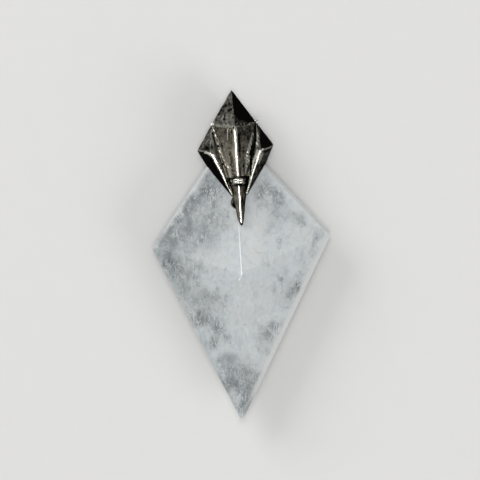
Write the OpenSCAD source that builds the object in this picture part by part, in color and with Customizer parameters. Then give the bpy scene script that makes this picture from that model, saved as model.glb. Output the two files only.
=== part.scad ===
// Trident pendant: a kite-shaped cut crystal under a cast cap with two wings, two side plates and a
// middle spike. It lies on its back, with the cap's point towards +Y and its front towards +Z.

/* [Crystal] */
// Length from the cap's point to the crystal's blunt lower tip
pendant_length = 57.5; // [56:0.1:60]
// Distance of the crystal's hidden top corner below the cap's point
crystal_top_y = 7.1; // [6.9:0.1:7.4]
// Distance of the side corners below the cap's point
corner_y = 26.65; // [25:0.1:29]
// Left corner, sideways from the cap's axis
corner_left_x = 15.965; // [14:0.1:17]
// Right corner, sideways from the cap's axis
corner_right_x = 15.465; // [14:0.1:17]
// Lean of the lower tip to the left of the cap's axis
tip_lean_x = 2.645; // [0:0.05:4]
// Lean of the top corner to the left of the cap's axis
top_lean_x = 0.465; // [0:0.05:0.8]
// Length that is ground off the sharp lower tip
tip_blunting = 0.7; // [0.4:0.1:1.2]
// Thickness from the back table to the front table
crystal_t = 9; // [8.6:0.1:9.4]
// Thickness of the girdle
girdle_t = 1.6; // [1.2:0.1:2]
// Width of the bevel along the two upper sides
upper_bevel_w = 0.45; // [0.3:0.05:0.7]
// Width of the bevel along the two lower sides
lower_bevel_w = 0.65; // [0.4:0.05:0.9]
// Height of the bevels
bevel_h = 0.6; // [0.4:0.05:0.8]
// Front table, as a share of the crystal's outline
front_table_share = 0.03; // [0.02:0.01:0.1]
// Back table, as a share of the crystal's outline
back_table_share = 0.16; // [0.12:0.01:0.22]
// Distance of the tables below the cap's point
table_y = 32.4; // [31:0.1:34]
// Tables, sideways to the left of the cap's axis
table_lean_x = 0.855; // [0.5:0.02:1.4]
// Diameter of the drilled hole
drill_d = 2.28; // [2.2:0.02:2.4]
// Drilled hole, sideways to the left of the cap's axis
drill_lean_x = 0.435; // [0.35:0.01:0.5]
// Distance of the drilled hole below the cap's point
drill_y = 19.9; // [19.6:0.1:20.2]

/* [Trident head] */
// Lean of the cap's point to the right of the cap's axis
point_lean_x = 0.12; // [0:0.01:0.2]
// Width across the shoulders
shoulder_span = 7.92; // [7.6:0.02:8.2]
// Distance of the shoulders below the cap's point
shoulder_y = 5.97; // [5.8:0.01:6.1]
// Distance of the bend in the front ridge below the cap's point
bend_y = 7; // [6.8:0.05:7.2]
// Height of that bend
bend_z = 8.7; // [8.4:0.05:8.9]
// Lean of that bend to the right of the cap's axis
bend_lean_x = 0.2; // [0:0.01:0.25]
// Width across the wing tips
wing_span = 13.54; // [13:0.02:14]
// Distance of the wing tips below the cap's point
wing_y = 10.27; // [10:0.01:10.5]
// Width across the outer corners of the side plates
plate_span = 9.04; // [8.8:0.02:9.2]
// Distance of those corners below the cap's point
plate_y = 11.1; // [10.9:0.05:11.3]
// Height of those corners
plate_z = 8; // [7.8:0.05:8.2]
// Width across the lower ends of the side plates
plate_end_span = 2.74; // [2.6:0.02:2.8]
// Distance of those ends below the cap's point
plate_end_y = 18.6; // [18.4:0.05:18.8]
// Height of those ends
plate_end_z = 8.5; // [8.4:0.05:8.7]
// Width of the polished edge at the outer corner of each side plate
plate_edge_w = 0.9; // [0.6:0.05:1]
// Width of the polished edge at the lower end of each side plate
plate_end_edge_w = 0.42; // [0.35:0.01:0.5]
// Width across the head where the crystal leaves it
mouth_span = 10.3; // [10.1:0.05:10.5]
// Distance of that place below the cap's point
mouth_y = 13.4; // [13.2:0.05:13.6]
// Distance of the lower end of the ridged shaft below the cap's point
shaft_end_y = 15.66; // [15.5:0.02:15.8]
// Height of the shaft's ridge at that end
shaft_end_z = 9.4; // [9.2:0.05:9.5]
// Width of the polished line along the shaft's ridge, at the bend
ridge_w = 0.66; // [0.5:0.02:0.9]
// Width of the polished line at the shaft's lower end
ridge_end_w = 0.42; // [0.3:0.02:0.6]
// Width of the back face, as a share of the head's outline
back_share = 0.6; // [0.5:0.01:0.65]
// Diameter of the hole for the neck cord
cord_hole_d = 2; // [1.6:0.1:2]
// Distance of the cord hole below the cap's point
cord_hole_y = 5.3; // [5.1:0.1:5.4]
// Height of the cord hole
cord_hole_z = 2.4; // [2.3:0.05:2.5]
// Width of the plain tongue behind the crystal
tongue_w = 2.6; // [2.2:0.1:3]
// Thickness of the tongue where no crystal lies over it
tongue_t = 2; // [1.6:0.1:2.4]
// Height of the web under the gap in the shaft
web_z = 7.35; // [7.3:0.05:7.4]
// Three-cornered casting hole, sideways to the right of the cap's axis
pit_x = 2.71; // [2.6:0.01:2.8]
// Distance of the casting hole below the cap's point
pit_y = 11.45; // [11:0.05:12]
// Size of the casting hole, from its centre to a corner
pit_r = 0.5; // [0.3:0.05:0.6]

/* [Spike, collar and pin] */
// Distance of the spike's upper end below the cap's point
spike_top_y = 17; // [16.95:0.05:17.1]
// Distance of the spike's tip below the cap's point
spike_tip_y = 23.96; // [23:0.02:25]
// Width of the spike at its upper end
spike_w = 2.94; // [2.8:0.02:3]
// Height of the spike's ridge at its upper end
spike_z = 9.15; // [9:0.05:9.3]
// Height of the spike's ridge at its tip
spike_tip_z = 8.75; // [8.7:0.05:9]
// Thickness of the spike's thin sides
flank_t = 0.4; // [0.3:0.05:0.5]
// Distance of the spike's waist, between the side plates' ends, below the cap's point
waist_y = 18.7; // [18.6:0.05:18.9]
// Width of the spike at its waist
waist_w = 2.48; // [2.4:0.02:2.6]
// Width of the spike's tip
tip_w = 0.3; // [0.2:0.05:0.4]
// Diameter of the spike's neck
neck_d = 1; // [0.9:0.05:1.1]
// Length of the neck that sits in the shaft
neck_grip_l = 1.2; // [0.8:0.1:1.6]
// Height of the neck's axis
neck_z = 8.5; // [8.45:0.05:8.55]
// Outer diameter of the collar ring
collar_d = 2.1; // [2:0.02:2.15]
// Length of the collar ring along the neck
collar_l = 0.95; // [0.8:0.05:1]
// Distance of the collar ring's middle below the cap's point
collar_y = 16.22; // [16.2:0.01:16.4]
// Radius of each of the collar ring's two rounded turns
turn_r = 0.27; // [0.25:0.01:0.28]
// Diameter of the pin
pin_d = 0.9; // [0.8:0.05:0.95]
// Height of the pin's end inside the spike
pin_top_z = 8.3; // [8:0.05:8.4]
// Gap between neighbouring pieces
gap = 0.08; // [0.05:0.01:0.1]

/* [Hidden] */
$fn = 64;

// Heights and places that follow from the sizes above
mid_z = crystal_t / 2;
facet_z = mid_z + girdle_t / 2 + bevel_h;
table_centre = [-table_lean_x, -table_y];
past = 0.5;

// The kite's corners, counterclockwise from the hidden top corner, with the lower tip still sharp
kite = [
    [-top_lean_x, -crystal_top_y],
    [-corner_left_x, -corner_y],
    [-tip_lean_x, -pendant_length - tip_blunting],
    [corner_right_x, -corner_y]
];
bevel_widths = [upper_bevel_w, lower_bevel_w, lower_bevel_w, upper_bevel_w];

function inward(from, to) = let (along = (to - from) / norm(to - from)) [-along.y, along.x];

// A corner after the side before it and the side after it have moved inward by their own widths
function inset_corner(before, corner, after, width_before, width_after) =
    let (
        n1 = inward(before, corner),
        n2 = inward(corner, after),
        c = n1 * n2,
        share_1 = (width_before - c * width_after) / (1 - c * c),
        share_2 = (width_after - c * width_before) / (1 - c * c)
    )
    corner + share_1 * n1 + share_2 * n2;

function inset(outline, widths) = [
    for (i = [0 : len(outline) - 1])
        let (before = (i + len(outline) - 1) % len(outline), after = (i + 1) % len(outline))
        inset_corner(outline[before], outline[i], outline[after], widths[before], widths[i])
];

function shrunk(outline, centre, share) = [for (p = outline) centre + share * (p - centre)];

function at_height(outline, z) = [for (p = outline) [p.x, p.y, z]];

// Points on the right side, each followed by its mirror image on the left
function both_sides(points) = [for (p = points) each [p, [-p.x, p.y, p.z]]];

// Rings of the crystal's corners, from the back table to the front table, moved outward by extra
function stone_rings(extra) =
    let (
        girdle = inset(kite, [for (w = bevel_widths) -extra]),
        bevelled = inset(kite, [for (w = bevel_widths) w - extra])
    )
    [
        at_height(shrunk(bevelled, table_centre, back_table_share), -extra),
        at_height(bevelled, crystal_t - facet_z - extra),
        at_height(girdle, mid_z - girdle_t / 2 - extra),
        at_height(girdle, mid_z + girdle_t / 2 + extra),
        at_height(bevelled, facet_z + extra),
        at_height(shrunk(bevelled, table_centre, front_table_share), crystal_t + extra)
    ];

// Height of the crystal's front ridge under the cap, at a distance y below the cap's point
function front_ridge_z(y) =
    facet_z + (crystal_t - facet_z) / (1 - front_table_share) * (y - crystal_top_y)
        / (table_y - crystal_top_y);

// Corners of the head's right side: x across from the cap's axis, y towards the cap's point, z up
apex = [point_lean_x, 0, mid_z];
shoulder = [shoulder_span / 2, -shoulder_y, mid_z];
bend = [bend_lean_x, -bend_y, bend_z];
wing_tip = [wing_span / 2, -wing_y, mid_z];
mouth = [mouth_span / 2, -mouth_y, mid_z];
mouth_front = [mouth.x, mouth.y, facet_z];
plate_corner = [plate_span / 2, -plate_y, plate_z];
plate_corner_in = plate_corner - [plate_edge_w, 0, 0];
plate_end = [plate_end_span / 2, -plate_end_y, plate_end_z];
plate_end_in = plate_end - [plate_end_edge_w, 0, 0];
plate_foot = [plate_end.x, plate_end.y - gap - flank_t / 2, front_ridge_z(plate_end_y) - flank_t];
plate_foot_in = plate_foot - [plate_end_edge_w, 0, 0];
back_foot = [plate_foot.x, plate_foot.y, crystal_t - plate_foot.z];

// The head's flat back: the head's outline, drawn in round its middle
head_centre = [0, -9.5];
head_corners = [for (p = concat([apex], both_sides([shoulder, wing_tip, mouth, plate_end]))) [p.x, p.y]];
back_outline = at_height(shrunk(head_corners, head_centre, back_share), 0);

// Corners along the groove between the shaft and a side plate, from the shoulder down
groove_top = shoulder + [-0.25, -0.5, 0.4];
groove_middle = [2.95, plate_corner.y, plate_z - 1];
groove_end = [2, -shaft_end_y, web_z + 0.4];

// Corners along the shaft's polished ridge, and along the fold on each side of it
ridge_top = [ridge_w / 2, -bend_y - 0.35, bend_z + 0.05];
ridge_end = [ridge_end_w / 2, -shaft_end_y, shaft_end_z];
fold_top = [1.25, 0.2 - bend_y, bend_z - 1.1];
fold_end = ridge_end + [0.8, 0, -0.4];

// A corner of the spike's blade at a distance t above the blade's flat underside
function blade_corner(width, y, t) = [width / 2, -y, front_ridge_z(y) + gap + t];

blade_top = blade_corner(spike_w, spike_top_y, flank_t);
blade_top_low = blade_corner(spike_w, spike_top_y, 0);
blade_waist = blade_corner(waist_w, waist_y, flank_t);
blade_waist_low = blade_corner(waist_w, waist_y, 0);
blade_tip = [tip_w / 2, -spike_tip_y, spike_tip_z - tip_w / 2];
blade_tip_low = blade_corner(tip_w, spike_tip_y, 0);
blade_ridge = [ridge_end_w / 2, -spike_top_y, spike_z];
blade_ridge_end = [tip_w / 4, tip_w - spike_tip_y, spike_tip_z];

// Solid through rings of equally many corners
module ring_solid(rings) {
    n = len(rings[0]);
    last = len(rings) - 1;
    polyhedron(
        points = [for (ring = rings) each ring],
        faces = [
            [for (i = [0 : n - 1]) i],
            for (k = [0 : last - 1], i = [0 : n - 1])
                let (j = (i + 1) % n) [k * n + i, (k + 1) * n + i, (k + 1) * n + j, k * n + j],
            [for (i = [n - 1 : -1 : 0]) last * n + i]
        ]
    );
}

// Smallest convex solid round some points
module solid_round(points) {
    hull() polyhedron(points = points, faces = [[for (i = [0 : len(points) - 1]) i]]);
}

// Cut stone, with its lower tip ground blunt
module cut_stone(extra) {
    difference() {
        ring_solid(stone_rings(extra));
        translate([-corner_left_x, -pendant_length - extra - corner_y, -past])
            cube([corner_left_x + corner_right_x, corner_y, crystal_t + 2 * past]);
    }
}

// Four-sided point of the head, down to the shoulders
module pyramid() {
    solid_round(concat([apex, bend], both_sides([shoulder, groove_top]), back_outline));
}

// Body of the head under the shaft and the side plates, with its flat back
module socket_body() {
    solid_round(concat(
        both_sides([shoulder, wing_tip, mouth, back_foot, groove_middle]),
        both_sides([[groove_end.x, groove_end.y, web_z], [spike_w / 2, gap - spike_top_y, web_z]]),
        back_outline
    ));
}

// Wing and side plate of one side, with the narrow polished edge along its front
module wing_and_plate() {
    solid_round([
        shoulder,
        wing_tip,
        mouth,
        mouth_front,
        plate_corner,
        plate_corner_in,
        plate_end,
        plate_end_in,
        plate_foot,
        plate_foot_in,
        groove_top,
        groove_middle,
        groove_end
    ]);
}

module shaft() {
    solid_round(concat(
        [bend],
        both_sides([shoulder, groove_top, groove_middle, groove_end, fold_top, fold_end]),
        both_sides([ridge_top, ridge_end, [groove_end.x, groove_end.y, web_z]])
    ));
}

module cord_hole() {
    translate([-shoulder_span, -cord_hole_y, cord_hole_z])
        rotate([0, 90, 0])
        cylinder(d = cord_hole_d, h = 2 * shoulder_span);
}

// Plain tongue behind the crystal, which the pin ends in
module tongue() {
    linear_extrude(tongue_t) {
        translate([0, -drill_y])
            circle(d = tongue_w);
        translate([-tongue_w / 2, -drill_y])
            square([tongue_w, drill_y - plate_y]);
    }
}

// Three-cornered hole that the casting has in its right groove
module casting_pit() {
    translate([pit_x, -pit_y, groove_middle.z - pit_r])
        rotate([0, 0, 90])
        cylinder(r = pit_r, h = 2 * pit_r, $fn = 3);
}

// Ridged blade over the crystal, moved outward by extra
module blade(extra) {
    side = [extra, 0, 0];
    low = [0, 0, -extra];
    high = [0, 0, extra];
    up = [0, extra, 0];
    solid_round(concat(
        both_sides([
            blade_top + side + up + high,
            blade_top_low + side + up + low,
            blade_waist + side + high,
            blade_waist_low + side + low
        ]),
        both_sides([blade_ridge + up + high, blade_ridge_end + high]),
        both_sides([blade_tip + side - up + high, blade_tip_low + side - up + low])
    ));
}

// Cylinder along the spike's axis, upward from a distance y below the cap's point
module along_neck(y, d, l) {
    translate([0, -y, neck_z])
        rotate([-90, 0, 0])
        cylinder(d = d, h = l);
}

// Cylinder along the pin's axis, upward from a height z
module along_pin(d, z, h) {
    translate([0, -drill_y, z])
        cylinder(d = d, h = h);
}

module crystal() {
    color("lightsteelblue")
    difference() {
        cut_stone(0);
        translate([-drill_lean_x, -drill_y, -past])
            cylinder(d = drill_d, h = crystal_t + 2 * past);
    }
}

module trident_head() {
    color("dimgray")
    difference() {
        union() {
            pyramid();
            socket_body();
            wing_and_plate();
            mirror([1, 0, 0])
                wing_and_plate();
            shaft();
            tongue();
        }
        cut_stone(gap);
        blade(gap);
        along_neck(shaft_end_y + past, neck_d + 2 * gap, neck_grip_l + past + gap);
        along_pin(pin_d + 2 * gap, -past, tongue_t + 2 * past);
        cord_hole();
        casting_pit();
    }
}

module centre_spike() {
    color("gray")
    difference() {
        union() {
            blade(0);
            along_neck(spike_top_y + past, neck_d, spike_top_y + past - shaft_end_y + neck_grip_l);
        }
        along_pin(pin_d + 2 * gap, 0, pin_top_z + gap);
    }
}

// Two rounded turns side by side round the neck
module collar_ring() {
    color("silver")
    translate([0, -collar_y, neck_z])
        rotate([90, 0, 0])
        rotate_extrude()
        difference() {
            for (side = [-1, 1])
                translate([collar_d / 2 - turn_r, side * (collar_l / 2 - turn_r)])
                    circle(r = turn_r);
            translate([0, -collar_l])
                square([neck_d / 2 + gap, 2 * collar_l]);
        }
}

module pin() {
    color("darkgray")
    along_pin(pin_d, gap, pin_top_z - gap);
}

// The whole pendant is centred over the origin
module placed() {
    translate([(corner_left_x - corner_right_x) / 2, pendant_length / 2, 0])
        children();
}

placed() crystal();
placed() trident_head();
placed() centre_spike();
placed() collar_ring();
placed() pin();
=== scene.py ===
import math

import bmesh
import bpy
import numpy as np
from bpy.props import FloatProperty, FloatVectorProperty, IntProperty, PointerProperty
from mathutils import Matrix, Vector, noise
from mathutils.bvhtree import BVHTree


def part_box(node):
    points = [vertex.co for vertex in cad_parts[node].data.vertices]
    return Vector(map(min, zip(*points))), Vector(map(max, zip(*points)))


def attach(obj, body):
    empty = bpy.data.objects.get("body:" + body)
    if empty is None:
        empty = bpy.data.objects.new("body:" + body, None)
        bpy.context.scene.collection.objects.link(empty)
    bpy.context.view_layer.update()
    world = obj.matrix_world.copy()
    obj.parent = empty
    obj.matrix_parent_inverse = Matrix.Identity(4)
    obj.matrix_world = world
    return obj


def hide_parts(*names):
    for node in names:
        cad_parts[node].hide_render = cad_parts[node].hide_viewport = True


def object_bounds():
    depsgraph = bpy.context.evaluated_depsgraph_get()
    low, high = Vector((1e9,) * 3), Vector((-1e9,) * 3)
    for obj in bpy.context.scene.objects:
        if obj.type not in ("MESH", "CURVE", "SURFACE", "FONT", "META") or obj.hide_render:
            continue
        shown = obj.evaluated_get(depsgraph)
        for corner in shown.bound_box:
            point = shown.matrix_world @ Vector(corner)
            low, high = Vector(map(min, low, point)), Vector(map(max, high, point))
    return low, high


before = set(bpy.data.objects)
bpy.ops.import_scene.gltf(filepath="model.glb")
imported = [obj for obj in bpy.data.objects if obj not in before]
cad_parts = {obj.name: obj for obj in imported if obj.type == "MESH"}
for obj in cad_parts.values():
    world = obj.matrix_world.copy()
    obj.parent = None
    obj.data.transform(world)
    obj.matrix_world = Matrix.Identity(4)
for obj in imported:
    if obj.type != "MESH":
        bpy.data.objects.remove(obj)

# The trident pendant's looks: a milky cut crystal under a blackened cast silver cap whose edges have
# worn bright, with painted shade and painted highlights in the colours of both. Places and sizes in
# the values below are in millimetres, apart from those that name metres or are times MM, and the
# settings' lengths are in metres.

bl_info = {
    "name": "Trident Pendant",
    "version": (1, 0, 0),
    "blender": (4, 5, 0),
    "location": "3D View > Sidebar > Pendant",
    "description": "Builds the looks of a trident pendant around its packed CAD solids",
    "category": "Object",
}

BODY = "root"
MM = 0.001
MERGE = 1e-6
CAD_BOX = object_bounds()
CAD_TOP = CAD_BOX[1].z
CAP_LOW, CAP_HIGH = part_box("trident_head")

# Turns between two faces: up to the first they are one flat face, above the second the stone's edges
# are softened, and above the third silver collects wear or tarnish
UNEVEN = math.radians(0.4)
CRISP = math.radians(5)
CREASED = math.radians(14)

# Size in metres of the small pieces' mesh cells, and the rounds of smoothing that round the edges
SPIKE_CELL, COLLAR_CELL = 0.00006, 0.00004
HEAD_ROUNDS, SMALL_ROUNDS = 3, 2

# Drawn lines: how much their width varies, how far their sides are blurred, the size of the noise that
# varies and speckles them, and how far a face has to look up to carry them
LINE_RIPPLE, LINE_BLUR = 0.12, 0.06
RIPPLE_SIZE, SPECKLE_SIZE = 0.4, 0.3
LINE_FACING = (0.1, 0.4)

# A dark mark or painted shade hides a share of the wear and painted highlight, and worn or
# highlighted metal has lost a share of its unevenness
MARK_COVER = 0.9
WORN_FLAT = 0.85

# Widths over which wear fades from an edge and tarnish from a crease, on the head and the small
# pieces; on the head the crease also carries painted shade
HEAD_EDGE, HEAD_CREASE = 0.12, 0.22
SMALL_EDGE, SMALL_CREASE = 0.1, 0.2

# Size of the waves in the head's faces and the small pieces', of the patches with pits, and the
# distance from pit to pit
HEAD_WAVES, SMALL_WAVES, PIT_PATCHES, PIT_PITCH = 1.1, 0.7, 1.6, 0.42

# Lines where the head's front has worn bright, partly real wear and partly painted highlights: how
# bright, how speckled, and the points on the line with its half-width at each
WORN_AND_HIGHLIGHT_LINES = [
    (0.72, 0.0, [(0.4, 22.0, 0.16), (0.47, 21.7, 0.28), (0.52, 21.0, 0.31), (0.46, 19.3, 0.26),
                 (0.39, 16.9, 0.23), (0.36, 15.2, 0.2), (0.3, 13.2, 0.17)]),
    (0.95, 0.0, [(-5.0, 18.12, 0.1), (-4.3, 17.75, 0.15), (-3.88, 17.3, 0.25), (-3.6, 16.7, 0.22),
                 (-3.25, 15.9, 0.14), (-2.54, 14.3, 0.1), (-2.03, 12.7, 0.08), (-1.42, 11.1, 0.07),
                 (-1.05, 10.2, 0.08)]),
    (0.5, 0.3, [(-6.5, 18.6, 0.14), (-5.0, 18.15, 0.12)]),
    (0.95, 0.0, [(5.1, 17.8, 0.1), (4.62, 17.5, 0.22), (4.3, 16.7, 0.17), (3.92, 15.9, 0.14),
                 (3.2, 14.3, 0.1), (2.6, 12.7, 0.08), (1.95, 11.1, 0.07), (1.58, 10.2, 0.08)]),
    (0.5, 0.3, [(6.98, 18.5, 0.12), (6.28, 18.0, 0.11), (5.16, 17.68, 0.14)]),
    (0.5, 0.4, [(5.1, 17.3, 0.12), (4.8, 17.0, 0.18), (4.4, 16.0, 0.24), (4.05, 15.3, 0.12)]),
    (0.85, 0.0, [(-5.2, 17.92, 0.1), (-4.79, 17.84, 0.12), (-4.4, 17.6, 0.14), (-4.1, 17.3, 0.15),
                 (-3.8, 16.9, 0.12)]),
    (0.4, 0.3, [(-3.6, 23.1, 0.14), (-3.25, 23.5, 0.16)]),
    (0.24, 1.0, [(4.35, 22.3, 0.2), (4.46, 21.0, 0.3), (4.39, 19.8, 0.34), (4.05, 18.4, 0.34),
                 (3.65, 17.6, 0.24)]),
    (0.6, 0.1, [(-0.9, 21.7, 0.06), (-1.02, 19.8, 0.1)]),
    (0.5, 0.9, [(-3.4, 22.35, 0.12), (-3.0, 20.5, 0.14), (-2.6, 18.4, 0.16), (-2.05, 16.2, 0.16),
                (-1.6, 15.2, 0.12)]),
    (0.4, 1.0, [(-3.75, 21.6, 0.1), (-3.55, 19.5, 0.14), (-3.2, 18.0, 0.12), (-2.6, 16.0, 0.1)]),
    (0.96, 0.4, [(3.5, 20.9, 0.12), (3.28, 19.8, 0.22), (2.84, 18.4, 0.38), (2.5, 17.4, 0.38),
                 (2.22, 15.8, 0.4)]),
    (0.5, 0.5, [(2.22, 15.8, 0.4), (1.98, 14.0, 0.34)]),
    (0.34, 0.9, [(3.3, 16.7, 0.18), (3.05, 15.6, 0.18), (2.76, 14.3, 0.14), (2.45, 13.0, 0.1)]),
    (0.34, 0.8, [(0.7, 22.35, 0.3), (2.3, 22.3, 0.3), (3.6, 22.5, 0.22)]),
    (0.34, 0.7, [(-3.3, 22.75, 0.26), (-1.5, 22.4, 0.34), (0.1, 22.15, 0.26)]),
    (0.2, 0.6, [(0.55, 24.2, 0.1), (0.7, 23.2, 0.36), (1.3, 22.8, 0.42), (2.4, 22.7, 0.2)]),
    (0.12, 0.2, [(0.4, 28.2, 0.1), (0.45, 22.6, 0.12)]),
    (0.22, 0.3, [(-1.0, 26.5, 0.15), (-0.2, 27.4, 0.2)]),
    (0.2, 0.3, [(-1.27, 24.7, 0.1), (-1.7, 23.6, 0.16)]),
    (0.4, 0.3, [(-5.45, 19.0, 0.1), (-5.05, 20.6, 0.12)]),
    (0.34, 0.3, [(-5.0, 19.6, 0.1), (-4.2, 20.3, 0.14)]),
    (0.34, 0.6, [(-1.9, 20.6, 0.12), (-1.75, 18.6, 0.16), (-1.45, 16.8, 0.1)]),
    (0.85, 0.3, [(-1.62, 15.9, 0.1), (-1.4, 14.9, 0.26), (-1.2, 13.9, 0.3), (-1.12, 13.4, 0.2)]),
    (0.3, 0.8, [(1.2, 15.8, 0.1), (1.15, 14.6, 0.16), (1.1, 13.5, 0.12)]),
]

# The same on the centre spike
SPIKE_WORN_AND_HIGHLIGHT_LINES = [
    (1.0, 0.0, [(0.31, 11.8, 0.12), (0.29, 9.9, 0.15), (0.26, 7.5, 0.17), (0.2, 5.9, 0.18),
                (0.19, 5.3, 0.15)]),
    (0.34, 0.4, [(-0.66, 11.35, 0.2), (-0.5, 10.8, 0.16)]),
    (0.4, 0.4, [(1.32, 11.3, 0.12), (1.3, 10.7, 0.1)]),
]

# Dark marks, each a line of shallow dents full of tarnish, and along the grooves, the gap and the
# spike's top also painted shade, given in the same way
DARK_MARKS_AND_SHADE = [
    (0.3, 0.8, [(-2.6, 24.8, 0.2), (-1.9, 25.8, 0.25), (-1.3, 26.7, 0.2)]),
    (0.7, 0.2, [(-0.35, 26.3, 0.12), (-0.2, 26.15, 0.12)]),
    (0.6, 0.2, [(-1.4, 25.8, 0.12), (-0.8, 25.92, 0.13)]),
    (0.7, 0.1, [(-0.5, 25.05, 0.15), (-0.05, 25.12, 0.15)]),
    (0.7, 0.2, [(-1.75, 25.3, 0.14), (-1.65, 25.25, 0.14)]),
    (0.6, 0.2, [(-2.35, 24.6, 0.17), (-2.15, 24.5, 0.14)]),
    (0.5, 0.1, [(-1.45, 23.5, 0.15), (-1.36, 23.75, 0.13), (-1.16, 24.3, 0.1)]),
    (0.6, 0.0, [(0.2, 23.8, 0.11), (0.21, 23.65, 0.12)]),
    (0.22, 0.6, [(-2.8, 23.5, 0.28), (-2.1, 23.6, 0.3)]),
    (0.6, 0.2, [(-0.58, 22.98, 0.11), (-0.48, 22.95, 0.11)]),
    (0.8, 0.4, [(-5.0, 18.8, 0.2), (-4.7, 18.7, 0.25)]),
    (0.6, 0.6, [(-3.85, 19.2, 0.2), (-3.8, 18.8, 0.22)]),
    (1.0, 0.0, [(-2.8, 18.98, 0.12), (-2.79, 18.86, 0.12)]),
    (0.9, 0.0, [(-2.72, 16.82, 0.11), (-2.7, 16.7, 0.11)]),
    (0.9, 0.0, [(-2.2, 15.8, 0.11), (-2.15, 15.68, 0.11)]),
    (0.9, 0.35, [(-3.62, 21.5, 0.08), (-3.36, 20.1, 0.08), (-3.12, 19.2, 0.07)]),
    (0.6, 0.4, [(-0.2, 21.6, 0.11), (-0.24, 20.9, 0.1)]),
    (0.55, 0.3, [(-0.72, 17.6, 0.16), (-0.56, 15.6, 0.32), (-0.44, 13.4, 0.34)]),
    (0.9, 0.0, [(-0.98, 17.3, 0.1), (-0.96, 17.1, 0.1)]),
    (0.9, 0.0, [(-0.9, 15.5, 0.1), (-0.88, 15.3, 0.1)]),
    (0.4, 0.6, [(-2.2, 19.4, 0.1), (-2.0, 17.0, 0.12)]),
    (1.0, 0.1, [(4.08, 22.2, 0.12), (3.98, 21.4, 0.18), (3.78, 19.7, 0.2), (3.4, 18.2, 0.2),
                (3.1, 17.5, 0.26), (3.0, 17.1, 0.4)]),
    (1.0, 0.2, [(2.93, 16.9, 0.14), (2.85, 16.2, 0.14), (2.62, 14.8, 0.14), (2.42, 13.4, 0.12)]),
    (1.0, 0.0, [(4.1, 22.72, 0.12), (4.12, 22.66, 0.1)]),
    (0.9, 0.2, [(4.95, 17.22, 0.07), (5.6, 17.35, 0.07), (6.3, 17.7, 0.06)]),
    (0.95, 0.1, [(-0.5, 13.2, 0.1), (0.4, 13.22, 0.15), (1.7, 13.22, 0.2), (2.1, 13.0, 0.16)]),
    (0.95, 0.0, [(2.07, 13.0, 0.15), (1.89, 12.3, 0.15), (1.73, 11.6, 0.13), (1.43, 10.9, 0.12)]),
    (0.95, 0.0, [(-1.69, 12.8, 0.13), (-1.54, 12.05, 0.11), (-1.34, 11.4, 0.09)]),
    (0.9, 0.0, [(5.6, 18.0, 0.07), (6.3, 18.2, 0.1), (6.8, 18.42, 0.05)]),
    (0.5, 0.3, [(4.6, 17.1, 0.09), (4.72, 16.98, 0.09)]),
    (1.0, 0.0, [(0.19, 22.0, 0.12), (0.21, 21.86, 0.12)]),
    (0.6, 0.6, [(0.95, 20.6, 0.2), (1.0, 18.6, 0.2), (0.95, 16.6, 0.12)]),
    (0.5, 0.8, [(1.7, 18.4, 0.12), (1.55, 16.2, 0.14), (1.45, 14.2, 0.1)]),
    (0.9, 0.1, [(1.42, 15.2, 0.13), (1.38, 14.95, 0.13)]),
    (0.7, 0.3, [(0.8, 15.4, 0.1), (0.76, 13.4, 0.12)]),
]

# The same on the centre spike
SPIKE_MARKS_AND_SHADE = [
    (1.0, 0.0, [(-1.0, 11.85, 0.2), (0.25, 12.0, 0.16), (1.5, 11.85, 0.2)]),
    (0.7, 0.4, [(0.9, 10.0, 0.09), (0.78, 9.5, 0.13), (0.68, 8.9, 0.11)]),
    (0.7, 0.4, [(0.74, 8.3, 0.09), (0.6, 7.4, 0.07)]),
    (0.8, 0.4, [(-0.42, 10.7, 0.1), (-0.36, 10.1, 0.1)]),
]

# Rows of small cast beads along the grooves: brightness of the highlight painted on their tops, start
# and end. Then how far the beads stray from a row, and the share of their radius that is sunk into the
# metal
BEAD_ROWS = [
    (0.5, (-3.4, 22.3), (-2.6, 18.4)),
    (0.5, (-2.6, 18.4), (-1.5, 15.0)),
    (0.4, (-2.9, 17.8), (-1.9, 14.4)),
    (0.9, (3.5, 20.9), (2.65, 17.6)),
    (1.0, (3.2, 19.4), (2.4, 17.2)),
    (1.0, (2.9, 18.6), (2.1, 17.2)),
    (0.6, (2.65, 17.6), (2.3, 15.2)),
    (0.6, (2.4, 17.2), (2.05, 15.0)),
    (0.6, (2.05, 17.0), (1.8, 15.2)),
    (0.5, (4.38, 22.0), (4.42, 19.8)),
    (0.6, (4.42, 19.8), (3.7, 17.9)),
    (0.5, (4.6, 21.2), (4.2, 18.4)),
    (0.6, (3.2, 16.6), (2.62, 13.8)),
]
BEAD_STRAY, BEAD_SUNK = 0.12, 0.15

# Drilled hole: its axis, the radii of its wall and of its softened rim, and the places along y where
# the painted shade on its wall starts and is black
HOLE = (-0.185, 8.85)
HOLE_RADII = (1.15, 1.2)
HOLE_SHADE = (9.2, 8.6)

# Boss that closes the hole's lower left, beside the pin, a dark piece standing for the shade in the
# hole: radius, foot and top, the heights where its painted shade starts and is black, the radius and
# height within which the skin is the boss's, and the planes that cut it, by a place and the side that
# goes
BOSS_RADIUS = 1.03
BOSS_FOOT, BOSS_TOP = 1.0, 1.75
BOSS_SHADE = (1.4, 1.6)
BOSS_REACH = (1.11, 3.0)
BOSS_CUTS = [((-0.33, 8.0), (1.0, 0.0)), ((-0.85, 8.5), (0.667, 0.745))]

# Centre spike: its axis, its lower end, half its width there and how fast that grows, and the places
# along y where painted shade on its tip starts and is full
SPIKE_AXIS, SPIKE_END = 0.22, 4.79
SPIKE_HALF, SPIKE_TAPER = 0.1, 0.21
TIP_BRINK = (5.3, 5.1)

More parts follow.
